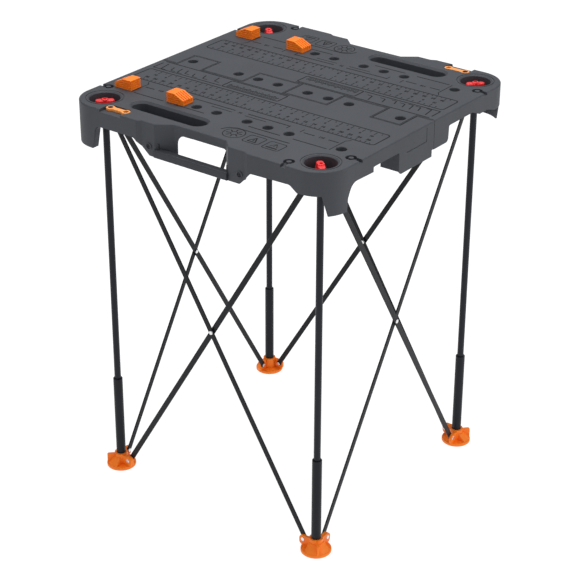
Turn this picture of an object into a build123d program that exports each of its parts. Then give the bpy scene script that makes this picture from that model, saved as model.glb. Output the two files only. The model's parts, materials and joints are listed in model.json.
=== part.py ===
from build123d import *
import os
from math import atan2, cos, degrees, hypot, radians, sin

os.makedirs("parts", exist_ok=True)

# A square work table whose deck folds in half, on four posts joined by scissor braces.
# Origin: on the floor under the deck's centre. +Z is up, the front edge faces -Y. Millimetres.
# The front half is modelled, and the rear half is the same moulding turned 180 degrees.

# Deck
TOP = 813.0             # height of the deck's top face
HALF = 303.0            # from the centre to each side face
CORNER_R = 60.0         # plan radius of the deck's corners
EDGE_ROUND = 3.0        # rounding between top face and side faces
PLATE = 3.5             # thickness of the top plate
WALL = 3.0              # thickness of the side walls
UNDER = TOP - PLATE     # underside of the top plate
DEEP = 730.0            # bottom of the deep corner skirts
SHALLOW = 768.0         # bottom of the shallow corner skirts
LOW = 700.0             # a level below the whole deck, for cutters

# Stepped seam between the halves
SEAM = 28.0             # the seam runs at y = +28 or -28
SEAM_GAP = 1.0          # gap between the halves
SEAM_BEVEL = 1.2        # bevel along the seam's top edges
SEAM_WALL_BOTTOM = 790.0
TEETH = ((-264.0, -201.0), (-100.0, 0.0), (100.0, 201.0), (264.0, 330.0))  # the front half reaches +28 here

# Dog holes
HOLE_R = 10.0
HOLE_BEVEL = 1.0
HOLE_BOSS = 13.0        # outer radius of the boss round each hole
HOLE_X = (-246.3, -131.2, -83.4, -35.5, 35.5, 83.4, 131.2, 246.3)
HOLE_ROW = 184.2        # the outer rows are at y = +-184.2, the middle row at y = 0
RIB_BOTTOM = 793.0
RIB = 2.4
RIBS_X = (-155.0, -59.0, 59.0, 155.0, 215.0)
RIBS_Y = (-75.0, -130.0)

# Corner cups, posts and locks
POST = 251.3            # each post stands at (+-POST, +-POST)
CUP_R = 29.4
CUP_RIM_R = 32.4        # the cup's mouth opens to this radius
CUP_RIM_DEPTH = 2.5
CUP_GROOVE = (35.0, 36.8)   # radii of the groove round the cup's lip
CUP_GROOVE_DEPTH = 1.2
CUP_FLOOR = 789.0
CUP_UNDER = 786.0
SPIGOT_R = 17.0         # cone under the cup that sits in the hub
SPIGOT_TIP_R = 10.0
SPIGOT_TIP = 779.0
SHAFT_R = 4.0
BORE_FIT = 0.05         # radial clearance of shafts and rods in their bores
CAM_POCKET_R = 7.8
CAM_POCKET_TOP = 782.6
GAP = 0.3               # clearance between parts that move past each other

# Tool tray
TRAY_X, TRAY_Y = -102.0, -240.0
TRAY_LENGTH, TRAY_WIDTH = 172.0, 36.0
TRAY_BEVEL = 4.5
TRAY_FLOOR = 789.0
TRAY_UNDER = 786.5

# Link latches and their catches
LINK_X, LINK_Y = -209.0, -281.5
LINK_PITCH = 38.0
LINK_R = 8.6            # radius of the link's eyes
LINK_WAIST = 10.5
LINK_NECK_R = 9.0       # rounding between eyes and waist
RECESS_R = 9.2
RECESS_FLOOR = 807.5
PAD_BOTTOM = 803.0
CATCH_POST_R = 4.6
CATCH_RING_R = 10.4
CATCH_CHANNEL = 10.0
CATCHES = ((207.0, -284.0, -90.0), (282.0, -205.0, 0.0), (-284.0, -205.0, 180.0))  # x, y, way out

# Handle in the middle of the front edge
RECESS_FACE = 277.0     # distance of the handle recess's back wall from the centre
POCKET_FACE = 298.0     # distance of the pockets that take the screws
ARM_BOTTOM = 748.5
WINDOW_X = (-53.0, 66.0)
WINDOW_TOP = 795.5
WINDOW_ROUNDS = (20.0, 3.0)
NOSES = (-89.0, 83.0)   # where the recess's slanted walls meet the pockets
POCKET_END = 119.0      # outer end of the flat pockets that take the screws
RECESS_X = 61.0         # half width of the recess's back wall
GRIP_X = (-88.0, 82.0)
GRIP_Z = (748.7, 764.0)
GRIP_DEPTH = 16.0
GRIP_ROUND = 3.0
RIDGE_PITCH = 15.0
TONGUES = (-107.5, 115.0)
TONGUE_Z = (755.8, 775.0)
TONGUE_D = (287.0, 295.0)
SCREW_XS = (-102.5, 109.0)
SCREW_Z = 767.0
SCREW_R = 1.8
SCREW_HEAD_R = 4.3
SCREW_HEAD = 1.8
SCREW_SEAT_R = 4.8      # the head lies in a seat inside a raised ring
SCREW_SEAT = 1.4        # depth of the seat below the pocket's face
SCREW_RING_R = 6.6
SCREW_RING = 1.6        # height of the ring over the pocket's face

# Deck hinge
HINGE_Z = 748.5
ROD_R = 2.5
ROD_HALF = 299.5
KNUCKLE_R = 5.0
WEBS = ((-226.0, -214.0), (-20.0, -6.0))
END_KNUCKLE = (290.0, 300.5)

# Posts and braces
TUBE_R = 6.6
TUBE_WALL = 1.2
TUBE_Z = (50.0, 777.0)
BUSH_R = 8.1            # bush at the tube's lower end, which keeps it in the sleeve
SLEEVE_R = 9.5
SLEEVE_BORE = 8.2
SLEEVE_Z = (4.0, 206.0)
MOUTH_Z = 190.0
PIVOT_IN = 25.2         # brace pivots are this far from the post, along the side
FOOT_PIVOT_Z = 19.5
HUB_PIVOT_Z = 770.0
BAR_WIDTH = 11.2
BAR = 2.8
BAR_ROUND = 0.9
BAR_IN = (-3.2, -0.4)   # the inner bar's faces, out from the post's plane
BAR_OUT = (0.4, 3.2)    # the outer bar's faces
EAR_FACE = 8.6          # the ears' outer face
RIVET_R = 2.5
RIVET_HEAD_R = 4.2
RIVET_HEAD = 1.5

# Hubs
HUB_R = 21.0
HUB_Z = (776.3, 785.6)
CRATER_DEPTH = 7.0
HUB_BOSS_R = 11.0
HUB_BOSS_BOTTOM = 766.0
HUB_EAR = (8.0, 33.5)
HUB_EAR_BOTTOM = 762.0

# Feet
FOOT_R = 30.0
FOOT_BASE = 7.0
SHOULDER_R = (28.0, 15.0)   # the shoulder that rises from the base to the collar
SHOULDER_TOP = 21.0
FIN = 4.4               # thickness of the fin on the foot's outer diagonal
FIN_END = 29.0
FIN_TOP = 27.0
FIN_ROUND = 3.0
COLLAR_R = 13.5
COLLAR_TOP = 29.5
FOOT_EAR_END = 34.0
FOOT_EAR_TOP = 27.6

# Lock knobs
KNOB_R = 18.0
KNOB_BASE = (789.3, 793.5)
KNOB_TOP = 808.0
KNOB_FOOT_SIZE = (40.0, 20.0)
KNOB_TOP_SIZE = (36.0, 13.0)
KNOB_HUB_R = 6.8        # round boss in the middle of the wing
KNOB_HUB_TOP = 810.0
KNOB_HOLLOW_R = 3.4
KNOB_HOLLOW = 2.2
SHAFT_TOP = 803.0

# Bench dogs
DOG_WIDTH = 28.4
DOG_NOSE = 13.2         # from the peg's axis to the upright face
DOG_TAIL = 27.4         # from the peg's axis to the low end
DOG_FLAT = 19.5
DOG_BASE = TOP + GAP
DOG_TOP = 832.5
DOG_END = 823.0
PEG_R = 9.9
PEG_BOTTOM = 797.0
DOG_GROOVE = 1.7        # width and depth of the dog's grooves
DOG_GROOVE_PITCH = 4.3
DOG_RIB_PITCH = 6.0     # pitch of the grooves that run down the slope
DOG_RIB_GAP = 2.6

CORNERS = ("front_left", "front_right", "rear_right", "rear_left")
SIDES = ("front", "right", "rear", "left")


def box(x0, x1, y0, y1, z0, z1):
    """A block between two corners."""
    middle = Pos((x0 + x1) / 2, (y0 + y1) / 2, (z0 + z1) / 2)
    return middle * Box(x1 - x0, y1 - y0, z1 - z0)


def disc(x, y, r, z0, z1):
    """An upright round bar."""
    return Pos(x, y, (z0 + z1) / 2) * Cylinder(r, z1 - z0)


def cone(x, y, r0, r1, z0, z1):
    """An upright cone from radius r0 at z0 to radius r1 at z1."""
    return Pos(x, y, (z0 + z1) / 2) * Cone(r0, r1, z1 - z0)


def prism(face, z0, z1):
    """A flat plan shape drawn up from z0 to z1."""
    return Pos(0, 0, z0) * extrude(face, z1 - z0)


def flat(points, rounds=()):
    """A flat face through the points; rounds lists (corner, radius) for the rounded corners."""
    face = make_face(Polyline(*points, close=True))
    for corner, radius in rounds:
        vertex = face.vertices().sort_by_distance((*corner, 0))[0]
        face = fillet(vertex, radius)
    return face


def on_side(face, d0, d1):
    """A face drawn as (along, z) on the front side, from d0 to d1 out from the centre."""
    return extrude(Plane.XZ.offset(d0) * face, d1 - d0)


def turned(shape, quarter):
    """The shape turned about the table's upright axis by quarter turns."""
    return Rot(0, 0, 90 * quarter) * shape


def corner_point(k):
    """Where post k stands."""
    signs = ((-1, -1), (1, -1), (1, 1), (-1, 1))[k]
    return signs[0] * POST, signs[1] * POST


def slot(length, width):
    """A plan shape with round ends, as long overall as length."""
    return SlotOverall(length, width)


# ---------------------------------------------------------------- deck halves

def seam_line(margin):
    """Corner points of the seam from left to right, margin inside the front half's share."""
    points = [(-400, -SEAM - margin)]
    for x0, x1 in TEETH:
        left, right = x0 + margin, x1 - margin
        points += [(left, -SEAM - margin), (left, SEAM - margin), (right, SEAM - margin),
                   (right, -SEAM - margin)]
    return points[:-1]


def seam_mask(inset=0.0):
    """Plan of the side of the seam that belongs to the front half, drawn in by inset."""
    line = seam_line(SEAM_GAP / 2 + inset)
    return flat([(-400, -400)] + line + [(line[-1][0], -400)])


def seam_bevel():
    """The cutter that bevels the front half's top edges along the seam."""
    line = seam_line(SEAM_GAP / 2 + SEAM_BEVEL)
    other_side = flat(line + [(400, line[-1][1]), (400, 400), (-400, 400)])
    return Pos(0, 0, TOP) * extrude(other_side, -SEAM_BEVEL, taper=45)


def edge_outline(inset=0.0):
    """Plan of the deck's front edge with the handle's recess in it, drawn in by inset."""
    step = HALF - POCKET_FACE
    mouth = POCKET_END + 2 * step
    left = [(-mouth, -HALF - 10), (-mouth, -HALF), (-POCKET_END, -POCKET_FACE), (NOSES[0], -POCKET_FACE),
            (-RECESS_X, -RECESS_FACE)]
    right = [(RECESS_X, -RECESS_FACE), (NOSES[1], -POCKET_FACE), (POCKET_END, -POCKET_FACE),
             (mouth, -HALF), (mouth, -HALF - 10)]
    recess = flat(left + right)
    if inset:
        recess = offset(recess, inset, kind=Kind.INTERSECTION)
    side = 2 * (HALF - inset)
    return RectangleRounded(side, side, CORNER_R - inset) - recess


def half_plan(inset=0.0):
    """Plan of the front half, drawn in by inset."""
    return edge_outline(inset) & seam_mask(inset)


def front_skirt_cut():
    """What is cut away below the front wall: deep at the left, two handle arms, shallow at the right."""
    arm = [(-136, 777), (-102, ARM_BOTTOM), (108, ARM_BOTTOM), (136, 777)]
    points = [(-238.3, LOW), (-238.3, DEEP), (-230, 777)] + arm
    points += [(222, 779.5), (238, SHALLOW), (POST, SHALLOW), (POST, LOW)]
    return flat(points, [((-230, 777), 12), ((-136, 777), 8), ((136, 777), 8), ((222, 779.5), 12)])


def flange_return():
    """The wall that runs in from the hinge flange's front edge."""
    return box(263, HALF - WALL + 0.5, -85.5, -82.5, 750, UNDER + 0.5)


def skirt_return():
    """The return behind the cut end of the deep skirt on the front side."""
    face = flat([(-241.3, DEEP), (-238.3, DEEP), (-230.5, 768.5), (-222.5, 776.5), (-222.5, 785), (-236, 785)])
    return on_side(face, 288, HALF - WALL + 0.5)


def right_skirt_cut():
    """What is cut away below the right wall: deep at the front, and the hinge flange."""
    points = [(-244, LOW), (-244, DEEP), (-241.5, 755), (-229, 779.5), (-165.5, 777.5), (-165.5, 787.5)]
    points += [(-85.5, 787.5), (-85.5, 751), (-78.5, 744), (22, 744), (22, 757), (40, 757), (40, LOW)]
    return flat(points, [((-229, 779.5), 22), ((-165.5, 787.5), 3), ((-85.5, 787.5), 3)])


def left_skirt_cut():
    """What is cut away below the left wall, drawn along +s = -Y: shallow at the front corner."""
    points = [(0, LOW), (0, 756), (77, 756), (79, 787.5), (160, 787.5), (186, 776.5), (215, 776.5)]
    points += [(240, SHALLOW), (POST, SHALLOW), (POST, LOW)]
    return flat(points, [((77, 756), 8), ((79, 787.5), 3), ((160, 787.5), 10), ((215, 776.5), 10)])


def corner_skirt_cut():
    """The shallow part of the front right corner; its end leans from 38 to 52 degrees round the corner."""
    reach = 110.0
    sections = []
    for split, z in ((38.0, DEEP - 1), (52.0, SHALLOW)):
        tip = (POST + reach * cos(radians(split)), -POST - reach * sin(radians(split)))
        face = flat([(POST, -POST), tip, (tip[0], -POST - reach), (215, -POST - reach), (215, -POST)])
        sections.append(Pos(0, 0, z) * face)
    return loft(sections, ruled=True)


def shell():
    """The front half's top plate and side walls, cut to the skirts' outlines."""
    block = prism(edge_outline(), DEEP, TOP)
    rim = block.edges().filter_by_position(Axis.Z, TOP - 0.01, TOP + 0.01)
    block = fillet(rim, EDGE_ROUND)
    block = block & prism(seam_mask(), DEEP, TOP)
    block -= seam_bevel()
    block -= prism(half_plan(WALL), LOW, UNDER)
    block -= on_side(front_skirt_cut(), 255, 320)
    left, right = WINDOW_X
    window = flat([(left, LOW), (right, LOW), (right, WINDOW_TOP), (left, WINDOW_TOP)],
                  [((left, WINDOW_TOP), WINDOW_ROUNDS[0]), ((right, WINDOW_TOP), WINDOW_ROUNDS[1])])
    block -= on_side(window, 255, 320)
    block -= turned(on_side(right_skirt_cut(), 258, 320), 1)
    block -= turned(on_side(left_skirt_cut(), 258, 320), 3)
    block -= corner_skirt_cut()
    block -= turned(corner_skirt_cut(), 3)
    block -= box(TEETH[0][0], TEETH[3][0] + WALL + 2, -40, 40, LOW, SEAM_WALL_BOTTOM)
    return block


def hinge_webs():
    """Knuckles on webs that carry the hinge rod under the seam, and the one behind the right flange."""
    face = flat([(-20, UNDER + 0.5), (20, UNDER + 0.5), (KNUCKLE_R, HINGE_Z), (-KNUCKLE_R, HINGE_Z)])
    face += Pos(0, HINGE_Z) * Circle(KNUCKLE_R)
    webs = [extrude(Plane.YZ.offset(x0) * face, x1 - x0) for x0, x1 in WEBS]
    knuckle = Circle(KNUCKLE_R + 1)
    x0, x1 = END_KNUCKLE
    webs.append(extrude(Plane.YZ.offset(x0) * (Pos(0, HINGE_Z + 1.6) * knuckle), x1 - x0))
    return webs


def ribs():
    """Stiffening ribs under the plate."""
    lengthwise = [box(-HALF, HALF, y - RIB / 2, y + RIB / 2, RIB_BOTTOM, UNDER + 0.5) for y in RIBS_Y]
    across = [box(x - RIB / 2, x + RIB / 2, -HALF, 0, RIB_BOTTOM, UNDER + 0.5) for x in RIBS_X]
    return lengthwise + across


def own_holes():
    """The dog holes in the front half: the whole front row, and the middle row's on its own teeth."""
    row = [(x, -HOLE_ROW) for x in HOLE_X]
    middle = [(x, 0) for x in HOLE_X if any(x0 < x < x1 for x0, x1 in TEETH[:3])]
    return row + middle


def link_recess():
    """Plan of the shallow recess where the link latch lies and swings out over the front edge."""
    reach = LINK_PITCH + RECESS_R
    lying = Pos(LINK_X + LINK_PITCH / 2, LINK_Y) * slot(LINK_PITCH + 2 * RECESS_R, 2 * RECESS_R)
    corner = Pos(LINK_X + reach / 2, LINK_Y - reach / 2) * Rectangle(reach, reach)
    swing = corner & (Pos(LINK_X, LINK_Y) * Circle(reach))
    side = Pos(LINK_X - RECESS_R / 2, LINK_Y - reach / 2) * Rectangle(RECESS_R, reach)
    return lying + swing + side


def catch_groove():
    """Plan of a catch: a ring round a post with a channel out to +X, for a neighbour's link."""
    channel = Pos(20, 0) * Rectangle(40, CATCH_CHANNEL)
    return Circle(CATCH_RING_R) + channel - Circle(CATCH_POST_R)


def deck_half():
    """The front half of the deck, one moulding."""
    inside = prism(half_plan(WALL / 2), LOW, TOP - 1)
    half = shell()
    added = [rib & inside for rib in ribs()] + hinge_webs()
    added += [disc(x, y, HOLE_BOSS, RIB_BOTTOM, UNDER + 0.5) & inside for x, y in own_holes()]
    tray_at = Pos(TRAY_X, TRAY_Y)
    tray_shell = slot(TRAY_LENGTH + 2 * WALL, TRAY_WIDTH + 2 * WALL)
    added.append(prism(tray_at * tray_shell, TRAY_UNDER, UNDER + 0.5))
    added.append(skirt_return())
    added.append(flange_return())
    added += screw_bars(SCREW_RING_R, -1, SCREW_RING)
    added.append(box(-222, -153, -HALF, -268, PAD_BOTTOM, UNDER + 0.5) & inside)
    for x, y, way in CATCHES:
        pad = Pos(x, y, 0) * Rot(0, 0, way) * box(-14, 40, -14, 14, PAD_BOTTOM, UNDER + 0.5)
        added.append(pad & inside)
    for k in (0, 1):
        x, y = corner_point(k)
        added.append(disc(x, y, CUP_R + WALL, CUP_UNDER, TOP - 1))
        added.append(cone(x, y, SPIGOT_TIP_R, SPIGOT_R, SPIGOT_TIP, CUP_UNDER + 0.01))
    half = half.fuse(*added)

    cuts = []
    for k in (0, 1):
        x, y = corner_point(k)
        cuts.append(disc(x, y, CUP_R, CUP_FLOOR, TOP + 1))
        cuts.append(cone(x, y, CUP_R, CUP_RIM_R, TOP - CUP_RIM_DEPTH, TOP))
        inner, outer = CUP_GROOVE
        floor = TOP - CUP_GROOVE_DEPTH
        cuts.append(disc(x, y, outer, floor, TOP + 1) - disc(x, y, inner, floor, TOP + 1))
        cuts.append(disc(x, y, SHAFT_R + BORE_FIT, LOW, TOP))
        cuts.append(disc(x, y, CAM_POCKET_R, LOW, CAM_POCKET_TOP))
    for x, y in own_holes():
        cuts.append(disc(x, y, HOLE_R, LOW, TOP + 1))
        cuts.append(cone(x, y, HOLE_R, HOLE_R + HOLE_BEVEL, TOP - HOLE_BEVEL, TOP))
    cuts.append(prism(tray_at * slot(TRAY_LENGTH, TRAY_WIDTH), TRAY_FLOOR, TOP + 1))
    mouth = extrude(tray_at * slot(TRAY_LENGTH + 2 * TRAY_BEVEL, TRAY_WIDTH + 2 * TRAY_BEVEL),
                    -TRAY_BEVEL, taper=45)
    cuts.append(Pos(0, 0, TOP) * mouth)
    cuts.append(prism(link_recess(), RECESS_FLOOR, TOP + 1))
    cuts.append(disc(LINK_X, LINK_Y, RIVET_R, PAD_BOTTOM, TOP))
    for x, y, way in CATCHES:
        cuts.append(Pos(x, y, 0) * Rot(0, 0, way) * prism(catch_groove(), RECESS_FLOOR, TOP + 1))
    x0, x1 = WEBS[0][0] - 1, END_KNUCKLE[1] - 0.7
    cuts.append(Pos((x0 + x1) / 2, 0, HINGE_Z) * Rot(0, 90, 0) * Cylinder(ROD_R + BORE_FIT, x1 - x0))
    cuts.append(grip_clearance())
    cuts += screw_bars(SCREW_R + 0.2, -5, 5)
    cuts += screw_bars(SCREW_SEAT_R, -SCREW_SEAT, 5)
    cuts += panel_lines()
    return half.cut(*cuts)


def screw_bars(r, out0, out1):
    """Round bars on the grip screws' axes, between two distances out from the pockets' face."""
    length = out1 - out0
    middle = -POCKET_FACE - (out0 + out1) / 2
    return [Pos(x, middle, SCREW_Z) * Rot(90, 0, 0) * Cylinder(r, length) for x in SCREW_XS]


def grip_clearance():
    """The notch in the recess's slanted walls that the grip passes through."""
    x0, x1 = GRIP_X
    bar = box(x0, x1, -HALF - 1, -HALF + GRIP_DEPTH, GRIP_Z[0] - 1, GRIP_Z[1])
    near, far = TONGUE_D
    for end, nose in zip(GRIP_X, NOSES):
        root = end * (1 - 6.5 / abs(end))
        outer = nose * (1 + 1.3 / abs(nose))
        bar += box(min(root, outer), max(root, outer), -far, -near, *TONGUE_Z)
    return bar


def panel_lines():
    """Two shallow lines moulded into the hinge flange's outer face."""
    deep, wide = 0.8, 1.4
    upright = box(HALF - deep, HALF + 1, 3 - wide / 2, 3 + wide / 2, 780, 807)
    level = box(HALF - deep, HALF + 1, -61, 3, 780 - wide / 2, 780 + wide / 2)
    return [upright, level]


# ---------------------------------------------------------------- handle, hinge rod, latches

def handle_grip():
    """The grip bar of the front half, with finger ridges and the tongues that take the screws."""
    z0, z1 = GRIP_Z
    bar = box(*GRIP_X, -HALF, -HALF + GRIP_DEPTH, z0, z1)
    bar = fillet(bar.edges().filter_by(Axis.X), GRIP_ROUND)
    near, far = TONGUE_D
    for end, tip in zip(GRIP_X, TONGUES):
        root = end * (1 - 6 / abs(end))
        bar += box(min(root, tip), max(root, tip), -far, -near, *TONGUE_Z)
    groove_r = 3.4
    for i in range(-3, 4):
        at = Pos(i * RIDGE_PITCH, -HALF + GRIP_DEPTH / 2, z0 - 2.2)
        bar -= at * Rot(90, 0, 0) * Cylinder(groove_r, 30)
    for hole in screw_bars(SCREW_R, -11, 0):
        bar -= hole
    return bar


def handle_screws():
    """The two screws that hold the front grip."""
    seat = -SCREW_SEAT
    screws = []
    shanks = screw_bars(SCREW_R, -10, seat)
    heads = screw_bars(SCREW_HEAD_R, seat, seat + SCREW_HEAD)
    for x, shank, head in zip(SCREW_XS, shanks, heads):
        head = fillet(head.edges().sort_by(Axis.Y)[0], 1.0)
        drive = Pos(x, -POCKET_FACE - seat - SCREW_HEAD, SCREW_Z)
        head -= drive * Box(4.6, 2.0, 1.2)
        head -= drive * Box(1.2, 2.0, 4.6)
        screws.append(shank + head)
    return Compound(screws)


def hinge_rod():
    """The rod on which the two halves fold."""
    rod = Pos(0, 0, HINGE_Z) * Rot(0, 90, 0) * Cylinder(ROD_R, 2 * ROD_HALF)
    return chamfer(rod.edges(), 0.5)


def link_latch():
    """The dog-bone link: one eye on its screw, the other goes round a neighbour table's catch."""
    z0, z1 = RECESS_FLOOR + GAP, TOP - 0.5
    plan = Circle(LINK_R) + Pos(LINK_PITCH, 0) * Circle(LINK_R)
    plan += Pos(LINK_PITCH / 2, 0) * Rectangle(LINK_PITCH, LINK_WAIST)
    necks = [v for v in plan.vertices() if abs(abs(v.Y) - LINK_WAIST / 2) < 0.01]
    plan = fillet(necks, LINK_NECK_R)
    link = prism(plan, z0, z1)
    link = chamfer(link.edges().group_by(Axis.Z)[-1], 0.6)
    link -= disc(0, 0, RIVET_R + BORE_FIT, z0, z1)
    link -= disc(0, 0, 5.3, z1 - 1.5, z1 + 1)
    link -= disc(LINK_PITCH, 0, CATCH_POST_R + 0.5, z0, z1)
    return Pos(LINK_X, LINK_Y) * link


def latch_screw():
    """The screw on which the link turns."""
    screw = disc(LINK_X, LINK_Y, RIVET_R, PAD_BOTTOM, TOP - 2 + GAP)
    head = disc(LINK_X, LINK_Y, 5.0, TOP - 2 + GAP, TOP - 0.3)
    head -= disc(LINK_X, LINK_Y, 1.8, TOP - 1.2, TOP)
    return screw + head


# ---------------------------------------------------------------- lock knobs and shafts

def lock_knob(k):
    """A quarter-turn knob in corner cup k: a wing along the deck's diagonal with a round boss on it."""
    base = disc(0, 0, KNOB_R, *KNOB_BASE)
    base = fillet(base.edges().group_by(Axis.Z)[-1], 1.2)
    lower = Pos(0, 0, KNOB_BASE[1] - 1) * RectangleRounded(*KNOB_FOOT_SIZE, 9.0)
    upper = Pos(0, 0, KNOB_TOP) * RectangleRounded(*KNOB_TOP_SIZE, 6.2)
    wing = loft([lower, upper])
    wing = fillet(wing.edges().group_by(Axis.Z)[-1], 2.4)
    boss = disc(0, 0, KNOB_HUB_R, KNOB_BASE[1], KNOB_HUB_TOP)
    boss = fillet(boss.edges().group_by(Axis.Z)[-1], 2.0)
    knob = base + wing + boss
    knob -= disc(0, 0, KNOB_HOLLOW_R, KNOB_HUB_TOP - KNOB_HOLLOW, KNOB_HUB_TOP + 1)
    knob -= disc(0, 0, SHAFT_R, KNOB_BASE[0], SHAFT_TOP)
    x, y = corner_point(k)
    return Pos(x, y) * Rot(0, 0, 45 + 90 * k) * knob


def lock_shaft(k):
    """The steel shaft under knob k, with the cam foot that grips the hub."""
    shaft = disc(0, 0, SHAFT_R, SPIGOT_TIP + 0.4, SHAFT_TOP)
    cam = prism(slot(14, 7.9), SPIGOT_TIP + 0.4, CAM_POCKET_TOP - GAP)
    x, y = corner_point(k)
    return Pos(x, y) * Rot(0, 0, 45 + 90 * k) * (shaft + cam)


# ---------------------------------------------------------------- bench dogs

def bench_dog(hole_x, row_y, facing):
    """A bench dog in the hole at (hole_x, row_y), its upright face towards facing (+1 or -1 in X)."""
    nose, tail = DOG_NOSE, -DOG_TAIL
    side = flat([(tail, DOG_BASE), (nose, DOG_BASE), (nose, DOG_TOP), (nose - DOG_FLAT, DOG_TOP),
                 (tail, DOG_END)])
    dog = extrude(Plane.XZ.offset(-DOG_WIDTH / 2) * side, DOG_WIDTH)
    groove = DOG_GROOVE
    edge = DOG_WIDTH / 2
    for i in range(4):
        z = DOG_BASE + 2.4 + i * DOG_GROOVE_PITCH
        slope_end = tail + 6 + max(0, i - 1) * 7
        dog -= box(slope_end, nose, -edge, groove - edge, z, z + groove)
        dog -= box(slope_end, nose, edge - groove, edge, z, z + groove)
        dog -= box(nose - groove, nose, -edge, edge, z, z + groove)
    start = nose - DOG_FLAT
    furrow = flat([(start, DOG_TOP + 1), (start, DOG_TOP - groove), (tail + groove, DOG_END - 1),
                   (tail + groove, DOG_BASE + 2.4), (tail - 1, DOG_BASE + 2.4), (tail - 1, DOG_TOP + 1)])
    for i in range(4):
        y = (i - 1.5) * DOG_RIB_PITCH
        dog -= extrude(Plane.XZ.offset(-y - DOG_RIB_GAP / 2) * furrow, DOG_RIB_GAP)
    peg = disc(0, 0, PEG_R, PEG_BOTTOM, DOG_BASE)
    dog += chamfer(peg.edges().group_by(Axis.Z)[0], 1.2)
    way = 0 if facing > 0 else 180
    return Pos(hole_x, row_y) * Rot(0, 0, way) * dog


# ---------------------------------------------------------------- posts and feet

def post_tube(k):
    """The slim upper tube of post k, with the bush at its lower end."""
    z0, z1 = TUBE_Z
    tube = disc(0, 0, TUBE_R, z0, z1) - disc(0, 0, TUBE_R - TUBE_WALL, z0, z1)
    bush = disc(0, 0, BUSH_R, z0, z0 + 10) - disc(0, 0, TUBE_R - TUBE_WALL, z0, z0 + 10)
    return Pos(*corner_point(k)) * (tube + bush)


def post_sleeve(k):
    """The lower sleeve of post k, with a narrow mouth that guides the tube."""
    z0, z1 = SLEEVE_Z
    sleeve = disc(0, 0, SLEEVE_R, z0, z1)
    sleeve = fillet(sleeve.edges().group_by(Axis.Z)[-1], 1.2)
    sleeve -= disc(0, 0, SLEEVE_BORE, z0, MOUTH_Z)
    sleeve -= disc(0, 0, TUBE_R + 0.08, z0, z1)
    return Pos(*corner_point(k)) * sleeve


def ear(along0, along1, z0, z1, inner, pivot_z, turn):
    """An ear beside a brace end, as a front-side piece whose post is at the origin, turned to its side."""
    face = flat([(along0, z0), (along1, z0), (along1, z1), (along0, z1)])
    round_r = min(8.0, (z1 - z0) / 2 - 0.1)
    for vertex_z in (z0, z1):
        vertex = face.vertices().sort_by_distance((along1, vertex_z, 0))[0]
        face = fillet(vertex, round_r)
    solid = on_side(face, inner, EAR_FACE)
    solid -= Pos(PIVOT_IN, 0, pivot_z) * Rot(90, 0, 0) * Cylinder(RIVET_R, 40)
    return Rot(0, 0, turn) * solid


def ear_pair(along0, along1, z0, z1, pivot_z, own_inner, other_inner):
    """Two ears of corner 0: one along its own side (+X), one along the side before it (+Y)."""
    own = ear(along0, along1, z0, z1, own_inner, pivot_z, 0)
    other = mirror(ear(along0, along1, z0, z1, other_inner, pivot_z, 0), Plane.YZ)
    return own, Rot(0, 0, -90) * other


def hub(k):
    """The hub on top of post k: crater for the deck's spigot, boss for the tube, two ears."""
    z0, z1 = HUB_Z
    body = disc(0, 0, HUB_R, z0, z1)
    body = fillet(body.edges().group_by(Axis.Z)[-1], 1.5)
    body += disc(0, 0, HUB_BOSS_R, HUB_BOSS_BOTTOM, z1 - CRATER_DEPTH)
    crater_r = SPIGOT_TIP_R + 0.5
    body -= cone(0, 0, crater_r, crater_r + CRATER_DEPTH, z1 - CRATER_DEPTH, z1)
    own, other = ear_pair(*HUB_EAR, HUB_EAR_BOTTOM, z0 + 2, HUB_PIVOT_Z, BAR_OUT[1] + GAP, BAR_IN[1] + GAP)
    body = body + own + other
    body -= disc(0, 0, TUBE_R, HUB_BOSS_BOTTOM, TUBE_Z[1])
    return Pos(*corner_point(k)) * Rot(0, 0, 90 * k) * body


def foot(k):
    """The foot of post k: base disc, shoulder, fin on the outer diagonal, collar and two ears."""
    base = disc(0, 0, FOOT_R, 0, FOOT_BASE)
    base = fillet(base.edges().group_by(Axis.Z)[-1], 2.5)
    base = chamfer(base.edges().group_by(Axis.Z)[0], 1.0)
    outer_side = box(-40, EAR_FACE, -40, EAR_FACE, 0, 40)
    shoulder = cone(0, 0, *SHOULDER_R, FOOT_BASE - 0.5, SHOULDER_TOP) & outer_side
    fin = box(-FIN_END, 0, -FIN / 2, FIN / 2, 1, FIN_TOP)
    outer_edge = fin.edges().filter_by(Axis.Y).sort_by(Axis.X)[:2].sort_by(Axis.Z)[-1]
    fin = Rot(0, 0, 45) * fillet(outer_edge, FIN_ROUND)
    body = base + shoulder + fin + disc(0, 0, COLLAR_R, 1, COLLAR_TOP)
    own_inner, other_inner = BAR_IN[1] + GAP, BAR_OUT[1] + GAP
    own, other = ear_pair(0, FOOT_EAR_END, FOOT_BASE - 1, FOOT_EAR_TOP, FOOT_PIVOT_Z, own_inner, other_inner)
    body = body + own + other
    body -= disc(0, 0, SLEEVE_R, SLEEVE_Z[0], 40)
    return Pos(*corner_point(k)) * Rot(0, 0, 90 * k) * body


def rivet_pair(k, pivot_z, own_bar, other_bar):
    """The two rivets that hold the brace ends at one hub or foot."""
    pair = []
    for side, bar in ((0, own_bar), (1, other_bar)):
        rivet = one_rivet(EAR_FACE, bar[0] - GAP)
        if side == 0:
            rivet = Pos(PIVOT_IN, 0, pivot_z) * rivet
        else:
            rivet = Rot(0, 0, -90) * (Pos(-PIVOT_IN, 0, pivot_z) * rivet)
        pair.append(Pos(*corner_point(k)) * Rot(0, 0, 90 * k) * rivet)
    return Compound(pair)


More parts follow.
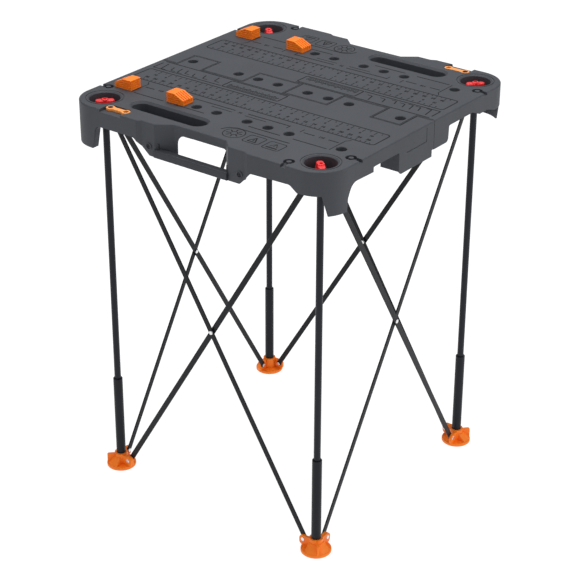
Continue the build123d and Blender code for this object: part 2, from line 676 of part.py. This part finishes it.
def one_rivet(outer, inner):
    """A rivet through the front side at the origin, with heads outside outer and inside inner."""
    shank = Pos(0, -(outer + inner) / 2, 0) * Rot(90, 0, 0) * Cylinder(RIVET_R, outer - inner)
    front = Pos(0, -outer - RIVET_HEAD / 2, 0) * Rot(90, 0, 0) * Cylinder(RIVET_HEAD_R, RIVET_HEAD)
    front = fillet(front.edges().sort_by(Axis.Y)[0], 1.1)
    back = Pos(0, -inner + RIVET_HEAD / 2, 0) * Rot(90, 0, 0) * Cylinder(RIVET_HEAD_R, RIVET_HEAD)
    back = fillet(back.edges().sort_by(Axis.Y)[-1], 1.1)
    return shank + front + back


# ---------------------------------------------------------------- braces

SPAN = 2 * (POST - PIVOT_IN)
RISE = HUB_PIVOT_Z - FOOT_PIVOT_Z
BAR_LENGTH = hypot(SPAN, RISE)
LEAN = degrees(atan2(RISE, SPAN))
MIDDLE_Z = (HUB_PIVOT_Z + FOOT_PIVOT_Z) / 2


def brace(side, bar, direction):
    """A flat bar on one side, between faces bar; direction +1 leans from start foot to end hub."""
    face = slot(BAR_LENGTH + BAR_WIDTH, BAR_WIDTH)
    blade = extrude(face, BAR)
    blade = fillet(blade.edges(), BAR_ROUND)
    middle_r = RIVET_R + (BORE_FIT + 0.01 if bar is BAR_IN else 0)
    blade -= Cylinder(middle_r, 20)
    for end in (-1, 1):
        blade -= Pos(end * BAR_LENGTH / 2, 0) * Cylinder(RIVET_R + BORE_FIT + 0.01, 20)
    upright = Plane.XZ.offset(POST + bar[0]) * (Rot(0, 0, direction * LEAN) * blade)
    return turned(Pos(0, 0, MIDDLE_Z) * upright, side)


def mid_rivet(side):
    """The rivet where the two bars of a side cross: tight in the outer bar, free in the inner one."""
    rivet = one_rivet(BAR_OUT[1], BAR_IN[0] - GAP)
    return turned(Pos(0, -POST, MIDDLE_Z) * rivet, side)


# ---------------------------------------------------------------- the whole table

def all_parts():
    """Every node by name."""
    front_to_rear = Rot(0, 0, 180)
    parts = {}
    half = deck_half()
    parts["deck_front"] = half
    parts["deck_rear"] = front_to_rear * half
    parts["hinge_rod"] = hinge_rod()
    for name, shape in (("handle_grip", handle_grip()), ("handle_screws", handle_screws()),
                        ("link_latch", link_latch()), ("latch_screw", latch_screw())):
        parts[name + "_front"] = shape
        parts[name + "_rear"] = front_to_rear * shape
    for row, row_y in (("front", -HOLE_ROW), ("rear", HOLE_ROW)):
        parts["bench_dog_" + row + "_left"] = bench_dog(HOLE_X[0], row_y, 1)
        parts["bench_dog_" + row + "_right"] = bench_dog(HOLE_X[1], row_y, -1)
    for k, corner in enumerate(CORNERS):
        parts["lock_knob_" + corner] = lock_knob(k)
        parts["lock_shaft_" + corner] = lock_shaft(k)
        parts["hub_" + corner] = hub(k)
        parts["hub_rivets_" + corner] = rivet_pair(k, HUB_PIVOT_Z, BAR_OUT, BAR_IN)
        parts["post_tube_" + corner] = post_tube(k)
        parts["post_sleeve_" + corner] = post_sleeve(k)
        parts["foot_" + corner] = foot(k)
        parts["foot_rivets_" + corner] = rivet_pair(k, FOOT_PIVOT_Z, BAR_IN, BAR_OUT)
    for side, name in enumerate(SIDES):
        parts["brace_" + name + "_inner"] = brace(side, BAR_IN, 1)
        parts["brace_" + name + "_outer"] = brace(side, BAR_OUT, -1)
        parts["mid_rivet_" + name] = mid_rivet(side)
    return parts


for node, solid in all_parts().items():
    export_step(solid, f"parts/{node}.step")
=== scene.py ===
"""Looks for a folding work table: finishes for the CAD parts, and the marks moulded into its deck, drawn as
dark strips whose colour is painted groove shade.
"""
import json
import math

import bmesh
import bpy
from mathutils import Matrix, Vector


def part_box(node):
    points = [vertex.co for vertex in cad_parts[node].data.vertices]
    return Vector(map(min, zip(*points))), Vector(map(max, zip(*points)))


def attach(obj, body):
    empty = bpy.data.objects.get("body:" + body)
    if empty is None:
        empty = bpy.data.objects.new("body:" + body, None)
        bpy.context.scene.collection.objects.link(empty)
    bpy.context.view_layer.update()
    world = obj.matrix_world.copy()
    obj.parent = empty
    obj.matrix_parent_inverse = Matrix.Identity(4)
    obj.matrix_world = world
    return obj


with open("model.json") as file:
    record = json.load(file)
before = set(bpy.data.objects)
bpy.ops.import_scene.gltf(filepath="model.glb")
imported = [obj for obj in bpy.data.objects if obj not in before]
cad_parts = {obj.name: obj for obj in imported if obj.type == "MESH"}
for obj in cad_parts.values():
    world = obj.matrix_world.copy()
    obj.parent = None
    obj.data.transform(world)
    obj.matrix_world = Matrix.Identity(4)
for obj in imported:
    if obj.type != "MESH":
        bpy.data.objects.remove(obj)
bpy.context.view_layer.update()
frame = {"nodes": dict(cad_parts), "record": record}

MM = 0.001
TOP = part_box("deck_front")[1].z


# ---------------------------------------------------------------- node helpers

def new_material(name):
    """An empty node material with its output and Principled shader."""
    mat = bpy.data.materials.new(name)
    mat.use_nodes = True
    tree = mat.node_tree
    tree.nodes.clear()
    out = tree.nodes.new("ShaderNodeOutputMaterial")
    shader = tree.nodes.new("ShaderNodeBsdfPrincipled")
    tree.links.new(shader.outputs["BSDF"], out.inputs["Surface"])
    return mat, tree, shader


def noise(tree, scale, detail=3.0, stretch=(1, 1, 1)):
    """Noise over the object's own coordinates, which are metres."""
    coords = tree.nodes.new("ShaderNodeTexCoord")
    mapping = tree.nodes.new("ShaderNodeMapping")
    mapping.inputs["Scale"].default_value = stretch
    texture = tree.nodes.new("ShaderNodeTexNoise")
    texture.inputs["Scale"].default_value = scale
    texture.inputs["Detail"].default_value = detail
    tree.links.new(coords.outputs["Object"], mapping.inputs["Vector"])
    tree.links.new(mapping.outputs["Vector"], texture.inputs["Vector"])
    return texture.outputs["Fac"]


def ramp(tree, value, low, high, start=0.35, end=0.65):
    """A colour ramp between two colours, driven by value."""
    node = tree.nodes.new("ShaderNodeValToRGB")
    node.color_ramp.elements[0].position = start
    node.color_ramp.elements[0].color = (*low, 1)
    node.color_ramp.elements[1].position = end
    node.color_ramp.elements[1].color = (*high, 1)
    tree.links.new(value, node.inputs["Fac"])
    return node.outputs["Color"]


def spread(tree, value, low, high):
    """value, from 0 to 1, mapped onto low to high."""
    node = tree.nodes.new("ShaderNodeMapRange")
    node.inputs["To Min"].default_value = low
    node.inputs["To Max"].default_value = high
    tree.links.new(value, node.inputs["Value"])
    return node.outputs["Result"]


def bumps(tree, shader, layers, edge_radius=0.0):
    """Stacked bump layers, each (height, distance), over an optional softened edge."""
    normal = None
    if edge_radius:
        bevel = tree.nodes.new("ShaderNodeBevel")
        bevel.samples = 4
        bevel.inputs["Radius"].default_value = edge_radius
        normal = bevel.outputs["Normal"]
    for height, distance in layers:
        bump = tree.nodes.new("ShaderNodeBump")
        bump.inputs["Distance"].default_value = distance
        tree.links.new(height, bump.inputs["Height"])
        if normal:
            tree.links.new(normal, bump.inputs["Normal"])
        normal = bump.outputs["Normal"]
    tree.links.new(normal, shader.inputs["Normal"])


def shade(colour, factor):
    """The colour, lighter or darker."""
    return tuple(min(1.0, c * factor) for c in colour)


def moulded(name, colour, rough, grain=1500.0, grain_depth=0.00006, mottle=0.06, edge=0.0006, coat=0.0,
            specular=0.3):
    """Moulded plastic: a fine sparked grain, faint flow mottling and slightly uneven gloss."""
    mat, tree, shader = new_material(name)
    flow = noise(tree, 14.0, 4.0, (1, 1, 0.4))
    fine = noise(tree, grain, 2.0)
    tree.links.new(ramp(tree, flow, shade(colour, 1 - mottle), shade(colour, 1 + mottle)),
                   shader.inputs["Base Color"])
    tree.links.new(spread(tree, fine, rough - 0.07, rough + 0.07), shader.inputs["Roughness"])
    shader.inputs["Specular IOR Level"].default_value = specular
    shader.inputs["Coat Weight"].default_value = coat
    shader.inputs["Coat Roughness"].default_value = 0.25
    bumps(tree, shader, [(fine, grain_depth)], edge)
    return mat


def powder_coat(name, colour, rough):
    """Powder-coated steel: a low orange peel and a thin soft gloss."""
    mat, tree, shader = new_material(name)
    shader.inputs["Specular IOR Level"].default_value = 0.2
    peel = noise(tree, 700.0, 2.0)
    cloud = noise(tree, 9.0, 3.0)
    tree.links.new(ramp(tree, cloud, shade(colour, 0.85), shade(colour, 1.2)), shader.inputs["Base Color"])
    tree.links.new(spread(tree, peel, rough - 0.06, rough + 0.06), shader.inputs["Roughness"])
    bumps(tree, shader, [(peel, 0.00005)], 0.0004)
    return mat


def bare_metal(name, colour, rough, brushed=(1, 1, 14)):
    """Plated steel with a light drawn grain."""
    mat, tree, shader = new_material(name)
    shader.inputs["Metallic"].default_value = 1.0
    grain = noise(tree, 500.0, 3.0, brushed)
    tree.links.new(ramp(tree, grain, shade(colour, 0.88), shade(colour, 1.08)), shader.inputs["Base Color"])
    tree.links.new(spread(tree, grain, rough - 0.08, rough + 0.1), shader.inputs["Roughness"])
    bumps(tree, shader, [(grain, 0.00002)], 0.0003)
    return mat


# ---------------------------------------------------------------- finishes

DECK_COLOUR = (0.049, 0.0535, 0.063)
ORANGE = (1.0, 0.215, 0.010)
FINISHES = {
    "deck_plastic": moulded("deck_plastic", DECK_COLOUR, 0.58, mottle=0.05),
    "grip_plastic": moulded("grip_plastic", shade(DECK_COLOUR, 0.72), 0.62, grain=1900.0, mottle=0.05),
    "dog_orange": moulded("dog_orange", ORANGE, 0.42, grain_depth=0.00003, mottle=0.05, edge=0.0005),
    "foot_orange": moulded("foot_orange", shade(ORANGE, 0.97), 0.45, grain_depth=0.00003, mottle=0.05),
    "latch_orange": moulded("latch_orange", (0.90, 0.34, 0.09), 0.34, grain_depth=0.00002, mottle=0.04,
                            edge=0.0004),
    "knob_red": moulded("knob_red", (0.78, 0.018, 0.020), 0.26, grain_depth=0.00001, mottle=0.04, edge=0.0006,
                        coat=0.3),
    "hub_plastic": moulded("hub_plastic", (0.022, 0.023, 0.026), 0.5),
    "tube_steel": powder_coat("tube_steel", (0.010, 0.0115, 0.017), 0.38),
    "sleeve_steel": powder_coat("sleeve_steel", (0.0075, 0.009, 0.013), 0.42),
    "brace_steel": powder_coat("brace_steel", (0.006, 0.007, 0.0095), 0.40),
    "rivet_steel": bare_metal("rivet_steel", (0.78, 0.78, 0.79), 0.26),
    "bright_steel": bare_metal("bright_steel", (0.66, 0.67, 0.69), 0.3),
    "screw_steel": bare_metal("screw_steel", (0.05, 0.05, 0.055), 0.36),
}
# Painted groove shade: the moulded marks are raised strips in a near-black copy of the deck plastic, which
# stands in for the shade in their grooves. The seam_shadow line is painted shadow in this same finish.
MARKS_GROOVE_SHADE_FINISH = moulded("moulded_marks_painted_groove_shade", shade(DECK_COLOUR, 0.08), 0.85, mottle=0.1, edge=0.0)


def finish_cad_nodes():
    """Every CAD node takes the finish of its slot in the record."""
    slots = {part["node"]: part["material_slot"] for part in frame["record"]["subparts"]}
    for node, obj in frame["nodes"].items():
        obj.data.materials.clear()
        obj.data.materials.append(FINISHES[slots[node]])


# ---------------------------------------------------------------- marks on the deck

MARK_RISE = 0.00012     # the marks are thin closed strips, sunk into the top face by as much as they rise
LINE = 0.0024
THIN = 0.0017
ARROW_LINE = 0.0013
SEAM_LINE = 0.0010


class Marks:
    """Thin marks on the top face, drawn in millimetres on the front half's plan."""

    def __init__(self):
        self.bm = bmesh.new()

    def plate(self, corners):
        """A closed thin plate over a convex outline of (x, y) points, anticlockwise."""
        low = [self.bm.verts.new((x * MM, y * MM, TOP - MARK_RISE)) for x, y in corners]
        high = [self.bm.verts.new((x * MM, y * MM, TOP + MARK_RISE)) for x, y in corners]
        self.bm.faces.new(high)
        self.bm.faces.new(list(reversed(low)))
        count = len(corners)
        for i in range(count):
            j = (i + 1) % count
            self.bm.faces.new((low[i], low[j], high[j], high[i]))

    def line(self, start, end, width=LINE):
        """A straight strip."""
        a, b = Vector(start), Vector(end)
        side = (b - a).normalized().orthogonal() * width / MM / 2
        corners = [a + side, b + side, b - side, a - side]
        if side.cross(b - a) > 0:
            corners = [a + side, a - side, b - side, b + side]
        self.plate(corners[::-1])

    def path(self, points, width=LINE):
        """Straight strips along the points."""
        for a, b in zip(points, points[1:]):
            self.line(a, b, width)

    def frame(self, x0, x1, y0, y1, radius, width=LINE):
        """A rectangle's outline with round corners."""
        steps = 5
        points = []
        for cx, cy, start in ((x1 - radius, y1 - radius, 0), (x0 + radius, y1 - radius, 90),
                              (x0 + radius, y0 + radius, 180), (x1 - radius, y0 + radius, 270)):
            for i in range(steps + 1):
                angle = math.radians(start + 90 * i / steps)
                points.append((cx + radius * math.cos(angle), cy + radius * math.sin(angle)))
        self.path(points + points[:1], width)

    def ring(self, x, y, radius, width=THIN, count=28):
        """A circle's outline."""
        turn = [2 * math.pi * i / count for i in range(count + 1)]
        self.path([(x + radius * math.cos(a), y + radius * math.sin(a)) for a in turn], width)

    def number(self, value, x, y, size):
        """A number centred on (x, y)."""
        curve = bpy.data.curves.new("number", "FONT")
        curve.body = str(value)
        curve.size = size * MM
        curve.extrude = MARK_RISE
        curve.offset = 0.00045
        curve.resolution_u = 3
        curve.align_x = "CENTER"
        curve.align_y = "CENTER"
        text = bpy.data.objects.new("number", curve)
        bpy.context.scene.collection.objects.link(text)
        mesh = bpy.data.meshes.new_from_object(text)
        mesh.transform(Matrix.Translation((x * MM, y * MM, TOP)))
        self.bm.from_mesh(mesh)
        bpy.data.objects.remove(text)
        bpy.data.curves.remove(curve)
        bpy.data.meshes.remove(mesh)

    def made(self, name, body, quarter_turns=0):
        """The marks as one object on a deck half."""
        bmesh.ops.recalc_face_normals(self.bm, faces=self.bm.faces)
        mesh = bpy.data.meshes.new(name)
        self.bm.to_mesh(mesh)
        self.bm.free()
        mesh.transform(Matrix.Rotation(quarter_turns * math.pi / 2, 4, "Z"))
        obj = bpy.data.objects.new(name, mesh)
        bpy.context.scene.collection.objects.link(obj)
        obj.data.materials.append(MARKS_GROOVE_SHADE_FINISH)
        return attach(obj, body)


def ruler(marks):
    """The long ruler: inches along the inner border, centimetres along the outer one, from the middle."""
    marks.frame(-286, 281, -136.5, -81, 7)
    for n in range(-21, 22):
        x = n * 12.7
        whole = n % 2 == 0
        marks.line((x, -84.5), (x, -95.5 if whole else -89.5), THIN)
        if whole and n:
            marks.number(abs(n) // 2, x, -103.5, 8.0)
    for n in range(-27, 28):
        x = n * 10.0
        even = n % 2 == 0
        marks.line((x, -134), (x, -127.5 if even else -130.5), THIN)
        if even and n:
            marks.number(abs(n), x, -120.5, 9.0)


def mitre_strip(marks):
    """The strip beside the seam: slanted guide marks at the left, a framed field of hatching at the right."""
    marks.line((-287, -33.5), (18, -33.5))
    marks.path([(-287, -42), (-287, -72), (-118, -71)])
    for x, low, high in ((-271, -69, -41), (-249, -66, -50), (-232, -67, -46), (-216, -63, -47),
                         (-195, -66, -52), (-172, -62, -46), (-144, -60, -40)):
        marks.line((x + 1.5, low), (x - 2.5, high), LINE)
        marks.line((x + 1.5, low), (x + 13, low - 0.5), THIN)
    marks.frame(-116, 18, -71, -38, 3)
    for i in range(24):
        x = -108 + i * 5.0
        tall = 11 if i % 3 == 0 else 7
        marks.line((x, -63), (x + 3, -63 + tall), LINE)
    marks.line((-108, -66.5), (10, -66.5), THIN)


def seam_shadow(marks):
    """A narrow dark line along the half's own side of the stepped seam."""
    inset, step, end = 2.3, 28, 299
    points = [(-end, -step - inset)]
    for x0, x1 in ((-264, -201), (-100, 0), (100, 201)):
        left, right = x0 + inset, x1 - inset
        points += [(left, -step - inset), (left, step - inset), (right, step - inset), (right, -step - inset)]
    points += [(264 + inset, -step - inset), (264 + inset, step - inset), (end, step - inset)]
    marks.path(points, SEAM_LINE)


def hole_spacing(marks):
    """Dimension lines between the dog holes of the outer row, each broken by a number."""
    for side in (-1, 1):
        marks.line((side * 15, -154.5), (side * 111, -154.5))
        marks.line((side * 15, -164.7), (side * 64, -164.7), THIN)
        for x in (111, 142):
            marks.line((side * x, -166), (side * x, -152), THIN)
        marks.line((side * 149, -164.3), (side * 173, -164.3))
        marks.line((side * 204, -164.3), (side * 226, -164.3))
        marks.number(115, side * 188.5, -163.5, 8.0)
        marks.line((side * 52, -200.8), (side * 123, -200.8))
        marks.line((side * 151, -199.6), (side * 225, -199.6))
        marks.path([(side * 231, -200), (side * 231, -151), (side * 238, -141.5)], THIN)
    marks.number(71, 0, -159.5, 9.0)


def pictograms(marks):
    """Plain pictures near the edge: a spoked disc, a triangle and a board with a pointer."""
    marks.path([(20, -240), (28, -226), (42, -219.5), (159, -219.5)])
    x, y = 52, -242
    marks.ring(x, y, 21)
    marks.ring(x, y, 7)
    for i in range(8):
        a = math.radians(45 * i + 12)
        along, across = math.cos(a), math.sin(a)
        marks.line((x + 9 * along, y + 9 * across), (x + 16 * along, y + 16 * across), LINE)
    marks.frame(82, 118, -260, -228.5, 5, THIN)
    marks.path([(91, -254), (109, -254), (100, -236), (91, -254)], LINE)
    marks.line((100, -249), (100, -243), LINE)
    marks.frame(128, 164, -262.5, -230.5, 5, THIN)
    marks.plate([(134, -257), (158, -257), (158, -253.5), (134, -253.5)])
    marks.path([(138, -250), (146, -237), (154, -250)], ARROW_LINE)
    marks.line((146, -237), (146, -250), ARROW_LINE)


def deck_marks():
    """The same marks on both halves, the rear ones turned with the rear half."""
    for turns, end in ((0, "front"), (2, "rear")):
        for name, draw in (("ruler", ruler), ("mitre_marks", mitre_strip), ("hole_spacing", hole_spacing),
                           ("pictograms", pictograms), ("seam_shadow", seam_shadow)):
            marks = Marks()
            draw(marks)
            marks.made(name + "_" + end, "deck_" + end, turns)


# ---------------------------------------------------------------- studio

SURROUNDINGS = 0.45       # strength of the pale surroundings
FLOOR_GREY = 0.25
FLOOR_GLOW = 0.9          # the floor's own light, which keeps it pale all over
FLOOR_REACH = 30.0
LIGHTS = (                # name, place, target, size, power in watts
    ("key", (-0.2, 0.1, 2.5), (0, 0, 0.8), 2.2, 38),
    ("right", (2.6, 0.5, 1.5), (0, 0, 0.6), 1.6, 18),
    ("fill", (-1.2, -2.8, 1.8), (0, 0, 0.6), 2.0, 4),
)

CAMERA_AZIMUTH = 36.98
CAMERA_ELEVATION = 26.97
CAMERA_ROLL = 0.29
CAMERA_DISTANCE = 3.5131
CAMERA_TARGET = Vector((0, 0, 0.4065))
CAMERA_SHIFT = (-0.0028, -0.0184)
FIELD = 580 / 1752.88     # sensor width over focal length
SENSOR = 36.0


def camera():
    """The camera, with the small shift and roll of the framing."""
    data = bpy.data.cameras.new("camera")
    cam = bpy.data.objects.new("camera", data)
    bpy.context.scene.collection.objects.link(cam)
    az, el = math.radians(CAMERA_AZIMUTH), math.radians(CAMERA_ELEVATION)
    back = Vector((math.sin(az) * math.cos(el), -math.cos(az) * math.cos(el), math.sin(el)))
    right = Vector((math.cos(az), math.sin(az), 0))
    up = back.cross(right)
    roll = math.radians(CAMERA_ROLL)
    rolled_right = right * math.cos(roll) + up * math.sin(roll)
    rolled_up = up * math.cos(roll) - right * math.sin(roll)
    turn = Matrix((rolled_right, rolled_up, back)).transposed().to_4x4()
    cam.matrix_world = Matrix.Translation(CAMERA_TARGET + back * CAMERA_DISTANCE) @ turn
    data.sensor_width = SENSOR
    data.lens = SENSOR / FIELD
    data.shift_x, data.shift_y = CAMERA_SHIFT
    data.clip_start, data.clip_end = 0.1, 50
    bpy.context.scene.camera = cam


def area_light(name, place, target, size, power):
    """A soft square light aimed at target."""
    data = bpy.data.lights.new(name, "AREA")
    data.size = size
    data.energy = power
    light = bpy.data.objects.new(name, data)
    light.location = place
    aim = Vector(target) - Vector(place)
    light.rotation_euler = aim.to_track_quat("-Z", "Y").to_euler()
    bpy.context.scene.collection.objects.link(light)


def studio():
    """Pale surroundings and floor, a large soft light above, one to the right and a fill in front."""
    world = bpy.data.worlds.new("studio")
    world.use_nodes = True
    bpy.context.scene.world = world
    background = world.node_tree.nodes["Background"]
    background.inputs["Color"].default_value = (1, 1, 1, 1)
    background.inputs["Strength"].default_value = SURROUNDINGS
    mesh = bpy.data.meshes.new("floor")
    reach = FLOOR_REACH
    mesh.from_pydata([(-reach, -reach, 0), (reach, -reach, 0), (reach, reach, 0), (-reach, reach, 0)], [],
                     [(0, 1, 2, 3)])
    floor = bpy.data.objects.new("floor", mesh)
    bpy.context.scene.collection.objects.link(floor)
    mat, tree, shader = new_material("floor")
    shader.inputs["Base Color"].default_value = (FLOOR_GREY, FLOOR_GREY, FLOOR_GREY, 1)
    shader.inputs["Roughness"].default_value = 1.0
    shader.inputs["Specular IOR Level"].default_value = 0.0
    shader.inputs["Emission Color"].default_value = (1, 1, 1, 1)
    shader.inputs["Emission Strength"].default_value = FLOOR_GLOW
    mesh.materials.append(mat)
    for light in LIGHTS:
        area_light(*light)
    bpy.context.scene.view_settings.view_transform = "Standard"


finish_cad_nodes()
deck_marks()
camera()
studio()
